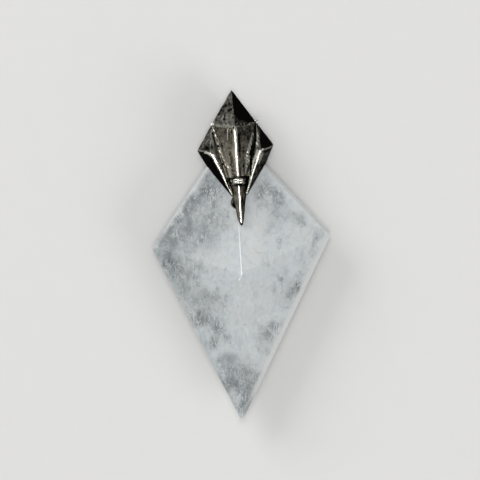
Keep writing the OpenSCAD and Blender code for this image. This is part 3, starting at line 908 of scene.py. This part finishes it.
def shaded_cemented_silver(settings):
    """The pin's aged silver, painted black as shade on its lower side and under pale cement on its upper
    one.
    """
    material, tree, shader, place = new_material("shaded_cemented_silver")
    crumbs = noise_node(tree, place, 2400.0, 4.0)
    along = weighted(tree, -0.3 * MM, (axis_of(tree, place, "Y"), 1.0), (crumbs, 0.6 * MM))
    cement = ranged(tree, along, *CEMENT_EDGE)
    pale = blend(tree, crumbs, *CEMENT_COLOURS)
    fill(tree, shader, {
        "Base Color": blend(tree, cement, opaque(settings.tarnish_colour), pale),
        "Roughness": ranged(tree, crumbs, 0.3, 0.7, 0.5, 0.8),
        "Metallic": calc(tree, "SUBTRACT", 1.0, cement),
        "Normal": bumped(tree, crumbs, 0.4, 0.04 * MM),
    })
    return material


def plain_paper(settings):
    """Matt pale surface of the floor."""
    material, tree, shader, place = new_material("pale_floor")
    pale, shade = opaque(settings.floor_colour), opaque(settings.floor_colour, PAPER_SHARES)
    fibres = noise_node(tree, place, 240.0, 4.0)
    fill(tree, shader, {"Base Color": blend(tree, fibres, pale, shade), "Roughness": 0.95})
    return material


# Operators

class PENDANT_OT_crystal(bpy.types.Operator):
    """Cuts the milky crystal, with soft edges and its clouds painted on"""

    bl_idname = "pendant.crystal"
    bl_label = "Crystal"
    bl_options = {"REGISTER", "UNDO"}

    def execute(self, context):
        settings = context.scene.pendant_crystal
        stone = merged_copy("crystal")
        corners = [
            max(stone.verts, key=lambda v: v.co.y).co.copy(),
            min(stone.verts, key=lambda v: v.co.x).co.copy(),
            min(stone.verts, key=lambda v: v.co.y).co.copy(),
            max(stone.verts, key=lambda v: v.co.x).co.copy(),
        ]
        cuts = [e for e in stone.edges if e.calc_face_angle(0.0) > CRISP and self.is_cut(e)]
        bmesh.ops.bevel(
            stone, geom=cuts, offset=settings.edge_radius, offset_type="OFFSET", segments=3,
            profile=0.5, affect="EDGES", material=-1, clamp_overlap=True,
        )
        self.cut_cells(stone, settings.cell)
        mesh = bpy.data.meshes.new("crystal_cut")
        stone.to_mesh(mesh)
        stone.free()
        places = points_of(mesh)
        inside = 1 - smooth_step(*HOLE_RADII, from_hole(places))
        # Painted shade, black, on the drilled hole's wall
        paint(
            mesh, cloud=self.clouds(places), rim=self.rim(places, corners),
            warmth=self.warmth(places), bore=inside * smooth_step(*HOLE_SHADE, places[:, 1] / MM),
        )
        finish_piece(mesh, "crystal_cut", "crystal", milky_quartz(settings))
        return {"FINISHED"}

    def cut_cells(self, stone, cell):
        """Cuts the stone's faces into cells along x and y."""
        low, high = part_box("crystal")
        for axis in (0, 1):
            place = Vector((0, 0, 0))
            for i in range(1, int((high[axis] - low[axis]) / cell)):
                place[axis] = low[axis] + i * cell
                normal = Vector((axis == 0, axis == 1, 0))
                geom = stone.verts[:] + stone.edges[:] + stone.faces[:]
                bmesh.ops.bisect_plane(stone, geom=geom, dist=MERGE, plane_co=place, plane_no=normal)

    def is_cut(self, edge):
        """Whether an edge is cut crisply: of the front's inner edges, the upper ridge alone is."""
        inner = all(face.normal.z > 0.9 for face in edge.link_faces)
        return not inner or max(v.co.y for v in edge.verts) > RIDGE_PART * MM

    def clouds(self, places):
        """Depth of the clear clouds at each vertex."""
        depth = np.zeros(len(places))
        size, reach = CLOUD_SWAY
        sway = np.stack([waves(places, size * MM, s, 4) for s in (1, 2)], axis=1) * reach
        flat = places[:, :2] / MM + sway
        for x, y, half_x, half_y, turn, share in CLEAR_CLOUDS:
            turn = math.radians(turn)
            off = flat - (x, y)
            across = (off[:, 0] * math.cos(turn) + off[:, 1] * math.sin(turn)) / half_x
            along = (off[:, 1] * math.cos(turn) - off[:, 0] * math.sin(turn)) / half_y
            away = np.hypot(across, along)
            depth = 1 - (1 - depth) * (1 - share * np.exp(-away ** 2))
        return depth

    def rim(self, places, corners):
        """Nearness of each vertex to the stone's outline: broad but soft along the upper left side."""
        near = np.zeros(len(places))
        flat = places.copy()
        flat[:, 2] = 0
        for start, end, (inner, outer, share) in zip(corners, corners[1:] + corners[:1], RIM_BANDS):
            ends = [np.array((corner.x, corner.y, 0)) for corner in (start, end)]
            away = distance_to_lines(flat, [ends]) / MM
            near = np.maximum(near, share * (1 - smooth_step(inner, outer, away)))
        full, least, lost = RIM_FADE
        return near * (1 - lost * smooth_step(full, least, places[:, 1] / MM))

    def warmth(self, places):
        """Warmer stone to the right of the spike's tip."""
        (x, y), (half_x, half_y), share = WARM_PATCH
        away = np.hypot((places[:, 0] / MM - x) / half_x, (places[:, 1] / MM - y) / half_y)
        return share * (1 - smooth_step(0.3, 1.3, away))


class PENDANT_OT_trident_head(bpy.types.Operator):
    """Casts the head, with nubs, beads along its grooves, pits, black tarnish and painted shade, and worn
    edges and painted highlights
    """

    bl_idname = "pendant.trident_head"
    bl_label = "Trident head"
    bl_options = {"REGISTER", "UNDO"}

    def execute(self, context):
        settings = context.scene.pendant_silver
        solid = merged_copy("trident_head")
        out, hollow = sharp_lines(solid)
        beads = self.beads(solid, settings)
        self.boss(solid)
        mesh = even_cells(solid, "trident_head_cast", settings.cell, HEAD_ROUNDS)
        places, normals = points_of(mesh), normals_of(mesh)
        # Worn metal and painted highlights on the head's front
        worn = drawn_share(places, normals, WORN_AND_HIGHLIGHT_LINES)
        # Painted highlight on the up-facing tops of the beads and nubs
        for centre, size, bright in beads:
            near = np.linalg.norm(places - centre, axis=1)
            highlight_caps = smooth_step(size * 1.3, size * 0.9, near) * (normals[:, 2] > 0.45)
            worn = np.maximum(worn, bright * highlight_caps)
        # Dents with tarnish, and painted shade along the grooves and the gap
        marks_and_shade = drawn_share(places, normals, DARK_MARKS_AND_SHADE)
        worn *= 1 - MARK_COVER * marks_and_shade
        height = places[:, 2] / MM
        # Painted shade: the boss's top inside the drilled hole is painted black
        reach, top = BOSS_REACH
        boss = (from_hole(places) < reach) * (height < top) * smooth_step(*BOSS_SHADE, height)
        slope = waves(places, HEAD_WAVES * MM, settings.seed) * 0.5 + 0.5
        pitted = smooth_step(-0.1, 0.3, waves(places, PIT_PATCHES * MM, settings.seed + 1, 2))
        holes = pits(places, PIT_PITCH * MM, settings.seed) * pitted
        depth = slope * settings.unevenness + np.maximum(holes, marks_and_shade) * settings.pit_depth
        press_in(mesh, "trident_head", depth, worn)
        down = (CAP_HIGH.y - places[:, 1]) / MM
        tone, inside = self.tarnish(places, normals, down)
        # Tarnish and painted shade in the head's creases, in the gap and below
        creases = nearness(places, hollow, HEAD_CREASE) * smooth_step(*TONE_STEPS["creases"], down)
        paint(
            mesh, worn=worn, edge=nearness(places, out, HEAD_EDGE), hollow=creases, front=inside,
            tarnish=tone + 0.9 * np.maximum(marks_and_shade, holes * 0.5) + boss,
        )
        silver = aged_silver(settings, "aged_silver")
        finish_piece(mesh, "trident_head_cast", "trident_head", silver)
        return {"FINISHED"}

    def beads(self, solid, settings):
        """Adds rows of uneven beads, sunk a little into the metal, and the nubs, and lists them all."""
        ground = BVHTree.FromBMesh(solid)
        above = CAD_TOP + MM
        chance = np.random.default_rng(settings.seed)
        beads = []
        for share, start, end in BEAD_ROWS:
            start, end = (Vector((*p, 0.0)) * MM for p in (start, end))
            count = int((end - start).length / settings.bead_pitch)
            for i in range(count + 1):
                flat = start.lerp(end, i / count)
                flat.x += chance.normal(0.0, BEAD_STRAY) * MM
                hit, normal, _, _ = ground.ray_cast(Vector((flat.x, flat.y, above)), Vector((0, 0, -1)))
                if hit is None:
                    raise RuntimeError("a bead has no metal under it")
                size = settings.bead_radius * chance.uniform(0.7, 1.15)
                centre = hit - normal * size * BEAD_SUNK
                place = Matrix.Translation(centre)
                bmesh.ops.create_icosphere(solid, subdivisions=2, radius=size, matrix=place)
                beads.append((np.array(centre), size, share * chance.uniform() ** 1.3))
        lean = Vector(NUB_LEAN).to_track_quat("Z", "Y").to_matrix().to_4x4()
        for place, size, flat, bright in NUBS:
            centre = Vector(place) * MM
            size *= MM
            matrix = Matrix.Translation(centre) @ lean @ Matrix.Diagonal((1, 1, flat, 1))
            bmesh.ops.create_icosphere(solid, subdivisions=2, radius=size, matrix=matrix)
            beads.append((np.array(centre), size, bright))
        return beads

    def boss(self, solid):
        """Adds the boss on the tongue that closes the drilled hole's lower left beside the pin, as painted
        shade.
        """
        boss = bmesh.new()
        bmesh.ops.create_cone(
            boss, cap_ends=True, segments=48, radius1=BOSS_RADIUS * MM, radius2=BOSS_RADIUS * MM,
            depth=(BOSS_TOP - BOSS_FOOT) * MM,
            matrix=Matrix.Translation(Vector((*HOLE, (BOSS_TOP + BOSS_FOOT) / 2)) * MM),
        )
        for place, away in BOSS_CUTS:
            cut = bmesh.ops.bisect_plane(
                boss, geom=boss.verts[:] + boss.edges[:] + boss.faces[:], dist=MERGE, clear_outer=True,
                plane_co=Vector((*place, 0.0)) * MM, plane_no=(*away, 0.0),
            )["geom_cut"]
            bmesh.ops.holes_fill(boss, edges=[e for e in cut if isinstance(e, bmesh.types.BMEdge)])
        shape = bpy.data.meshes.new("boss")
        boss.to_mesh(shape)
        boss.free()
        solid.from_mesh(shape)
        bpy.data.meshes.remove(shape)

    def tarnish(self, places, normals, down):
        """Depth of the tarnish and painted shade, deepest on outer faces towards the upper right and the
        lower left, and each vertex's share in the front between the grooves."""
        side = (places[:, 0] - (CAP_LOW.x + CAP_HIGH.x) / 2) / MM
        reach = np.abs(side)
        step = {name: smooth_step(*ends, down) for name, ends in TONE_STEPS.items()}
        groove, crest = (np.interp(down, *line) for line in (GROOVE_LINE, CREST_LINE))
        # Painted shade by the way each outer face turns: deepest towards the upper right and the lower
        # left
        slant = normals[:, 0] * normals[:, 1]
        lower = smooth_step(0.1, 0.3, -normals[:, 1])
        gain = np.where(slant > 0, RISING_TONE, FALLING_TONE + LOWER_FALLING_TONE * lower)
        outer = OUTER_TONE + gain * slant + LOWER_TONE * lower
        outer -= WINGS_TONE * lower * (slant > 0) * step["wings"]
        shoulders = step["shoulders"] * step["shoulders_end"]
        outer -= SHOULDERS_TONE * (1 - lower) * (slant < 0) * shoulders
        beyond = BEYOND_TONE * smooth_step(0.2, 1.1, reach - crest) + PLATES_TONE * step["plates"]
        outer += beyond * lower * (slant < 0)
        below = down - FRONT_BEND + FRONT_SLOPE * reach
        inside = smooth_step(FRONT_BLUR, -FRONT_BLUR, reach - groove)
        inside = inside * smooth_step(-FRONT_BLUR, FRONT_BLUR, below)
        top = 1 - step["shaft"]
        # Painted shade makes the front's left and right sides differ, and darkens the gap
        left, right = (tone + more * top for tone, more in zip(FRONT_TONES, TOP_TONES))
        front = np.where(side < 0.1, left, right) + GAP_SHADE * step["gap"]
        tone = outer + (front - outer) * inside
        between = smooth_step(CREST_BLUR, -CREST_BLUR, reach - crest) * step["strips"] * (1 - inside)
        strip = np.where(side < 0, *STRIP_TONES)
        return np.clip(tone + (strip - tone) * between, 0, DEEPEST), inside


class PENDANT_OT_spike_and_collar(bpy.types.Operator):
    """Casts the centre spike, with a blunter tip, and the two-turn collar ring above it"""

    bl_idname = "pendant.spike_and_collar"
    bl_label = "Spike and collar"
    bl_options = {"REGISTER", "UNDO"}

    def execute(self, context):
        settings = context.scene.pendant_silver
        self.cast("centre_spike", settings, SPIKE_CELL, SPIKE_WORN_AND_HIGHLIGHT_LINES, SPIKE_MARKS_AND_SHADE, "dark_silver", 0.0)
        self.cast("collar_ring", settings, COLLAR_CELL, [], [], "bright_silver", COLLAR_CLEANNESS)
        return {"FINISHED"}

    def cast(self, node, settings, cell, lines, dark_and_shade_lines, slot, cleanness):
        """Casts one small piece in place of its CAD node."""
        solid = merged_copy(node)
        out, hollow = sharp_lines(solid)
        mesh = even_cells(solid, node + "_cast", cell, SMALL_ROUNDS)
        aged = 1 - cleanness
        blunt = aged * self.blunt_tip(mesh)
        places, normals = points_of(mesh), normals_of(mesh)
        x, y = places[:, 0] / MM, places[:, 1] / MM
        # Dents with tarnish, and painted shade at the spike's top
        marks_and_shade = drawn_share(places, normals, dark_and_shade_lines)
        # Worn metal and painted highlights, less under marks and painted shade
        worn = drawn_share(places, normals, lines) * (1 - MARK_COVER * marks_and_shade)
        slope = (waves(places, SMALL_WAVES * MM, settings.seed + 5) * 0.5 + 0.5) * aged
        press_in(mesh, node, slope * settings.unevenness * 0.5 + marks_and_shade * settings.pit_depth * 0.5, worn)
        # Painted shade at the collar's ends, which also takes away their highlight, and on the spike's
        # sides and tip
        ends = cleanness * smooth_step(*COLLAR_ENDS, np.abs(x - COLLAR_AXIS))
        half = SPIKE_HALF + SPIKE_TAPER * (y - SPIKE_END) + blunt
        brink_shade = smooth_step(*SPIKE_BRINK, np.abs(x - SPIKE_AXIS) / half)
        brink_shade = aged * np.maximum(brink_shade, smooth_step(*TIP_BRINK, y))
        # Painted shade on faces to the right
        tone = np.clip(SMALL_TONE + RIGHT_SHADE * normals[:, 0], 0, 1) + BRINK_SHADE * brink_shade
        paint(
            mesh, worn=worn - 1.1 * ends, tarnish=tone + MARK_TONE * marks_and_shade + ENDS_SHADE * ends,
            edge=nearness(places, out, SMALL_EDGE), hollow=nearness(places, hollow, SMALL_CREASE),
            front=np.ones(len(places)),
        )
        silver = aged_silver(settings, node + "_silver", cleanness)
        finish_piece(mesh, node + "_cast", node, silver)

    def blunt_tip(self, mesh):
        """Widens the spike's tip, and gives how far at each vertex, in millimetres."""
        places = points_of(mesh)
        along = places[:, 1] / MM
        swell = TIP_SWELL * smooth_step(*TIP_ABOVE, along) * smooth_step(*TIP_BELOW, along)
        side = np.clip((places[:, 0] / MM - SPIKE_AXIS) / TIP_HALF, -1, 1)
        places[:, 0] += swell * MM * (side - TIP_LEAN)
        move_points(mesh, places)
        return swell


class PENDANT_OT_pin(bpy.types.Operator):
    """Gives the pin its aged silver, painted black as shade on its lower side and under cement on its
    upper side
    """

    bl_idname = "pendant.pin"
    bl_label = "Pin"
    bl_options = {"REGISTER", "UNDO"}

    def execute(self, context):
        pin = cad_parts["pin"]
        pin.data.materials.clear()
        pin.data.materials.append(shaded_cemented_silver(context.scene.pendant_silver))
        return {"FINISHED"}


class PENDANT_OT_stage(bpy.types.Operator):
    """Lays the pale floor and sets up the soft lights and the camera"""

    bl_idname = "pendant.stage"
    bl_label = "Stage"
    bl_options = {"REGISTER", "UNDO"}

    def execute(self, context):
        settings = context.scene.pendant_stage
        self.floor(context, settings)
        self.lights(context, settings)
        self.camera(context, settings)
        context.scene.view_settings.view_transform = "Standard"
        return {"FINISHED"}

    def floor(self, context, settings):
        """Lays the floor just under the pendant."""
        ground = bmesh.new()
        under = Matrix.Translation((0, 0, -FLOOR_DROP * MM))
        bmesh.ops.create_circle(ground, cap_ends=True, segments=96, radius=FLOOR_RADIUS, matrix=under)
        mesh = bpy.data.meshes.new("floor")
        ground.to_mesh(mesh)
        ground.free()
        mesh.materials.append(plain_paper(settings))
        floor = bpy.data.objects.new("floor", mesh)
        context.scene.collection.objects.link(floor)

    def lights(self, context, settings):
        """Lights the room evenly and adds the softboxes."""
        world = bpy.data.worlds.new("room")
        world.use_nodes = True
        sky = world.node_tree.nodes["Background"]
        fill(world.node_tree, sky, {"Color": SKY_COLOUR, "Strength": settings.room})
        context.scene.world = world
        for name, place, size, setting, share in SOFTBOXES:
            light = bpy.data.lights.new(name, "AREA")
            light.shape = "RECTANGLE"
            light.size, light.size_y = size
            light.energy = getattr(settings, setting) * share
            lamp = bpy.data.objects.new(name, light)
            lamp.location = place
            lamp.rotation_euler = (-Vector(place)).to_track_quat("-Z", "Y").to_euler()
            lamp.visible_camera = False
            context.scene.collection.objects.link(lamp)

    def camera(self, context, settings):
        """Hangs the camera straight above the pendant."""
        data = bpy.data.cameras.new("camera")
        data.lens, data.sensor_width = LENS, SENSOR
        data.clip_start, data.clip_end = 0.01, 20.0
        camera = bpy.data.objects.new("camera", data)
        x, y = CAMERA_PLACE
        camera.location = (x * MM, y * MM, settings.view_width * LENS / SENSOR + CAD_TOP / 2)
        camera.rotation_euler = (0.0, 0.0, settings.view_turn)
        context.scene.collection.objects.link(camera)
        context.scene.camera = camera


class PENDANT_PT_sidebar(bpy.types.Panel):
    """Lists the pendant's operators and settings"""

    bl_idname = "PENDANT_PT_sidebar"
    bl_label = "Trident Pendant"
    bl_space_type = "VIEW_3D"
    bl_region_type = "UI"
    bl_category = "Pendant"

    def draw(self, context):
        for name in OPERATORS:
            self.layout.operator(name)
        for group in ("pendant_crystal", "pendant_silver", "pendant_stage"):
            settings = getattr(context.scene, group)
            box = self.layout.box()
            for prop in settings.bl_rna.properties:
                if prop.identifier not in ("rna_type", "name"):
                    box.prop(settings, prop.identifier)


OPERATORS = (
    "pendant.crystal",
    "pendant.trident_head",
    "pendant.spike_and_collar",
    "pendant.pin",
    "pendant.stage",
)
CLASSES = (
    CrystalSettings,
    SilverSettings,
    StageSettings,
    PENDANT_OT_crystal,
    PENDANT_OT_trident_head,
    PENDANT_OT_spike_and_collar,
    PENDANT_OT_pin,
    PENDANT_OT_stage,
    PENDANT_PT_sidebar,
)


def register():
    for cls in CLASSES:
        bpy.utils.register_class(cls)
    bpy.types.Scene.pendant_crystal = PointerProperty(type=CrystalSettings)
    bpy.types.Scene.pendant_silver = PointerProperty(type=SilverSettings)
    bpy.types.Scene.pendant_stage = PointerProperty(type=StageSettings)


def unregister():
    del bpy.types.Scene.pendant_stage
    del bpy.types.Scene.pendant_silver
    del bpy.types.Scene.pendant_crystal
    for cls in reversed(CLASSES):
        bpy.utils.unregister_class(cls)


def main():
    register()
    bpy.ops.pendant.crystal()
    bpy.ops.pendant.trident_head()
    bpy.ops.pendant.spike_and_collar()
    bpy.ops.pendant.pin()
    bpy.ops.pendant.stage()


if __name__ == "__main__":
    main()
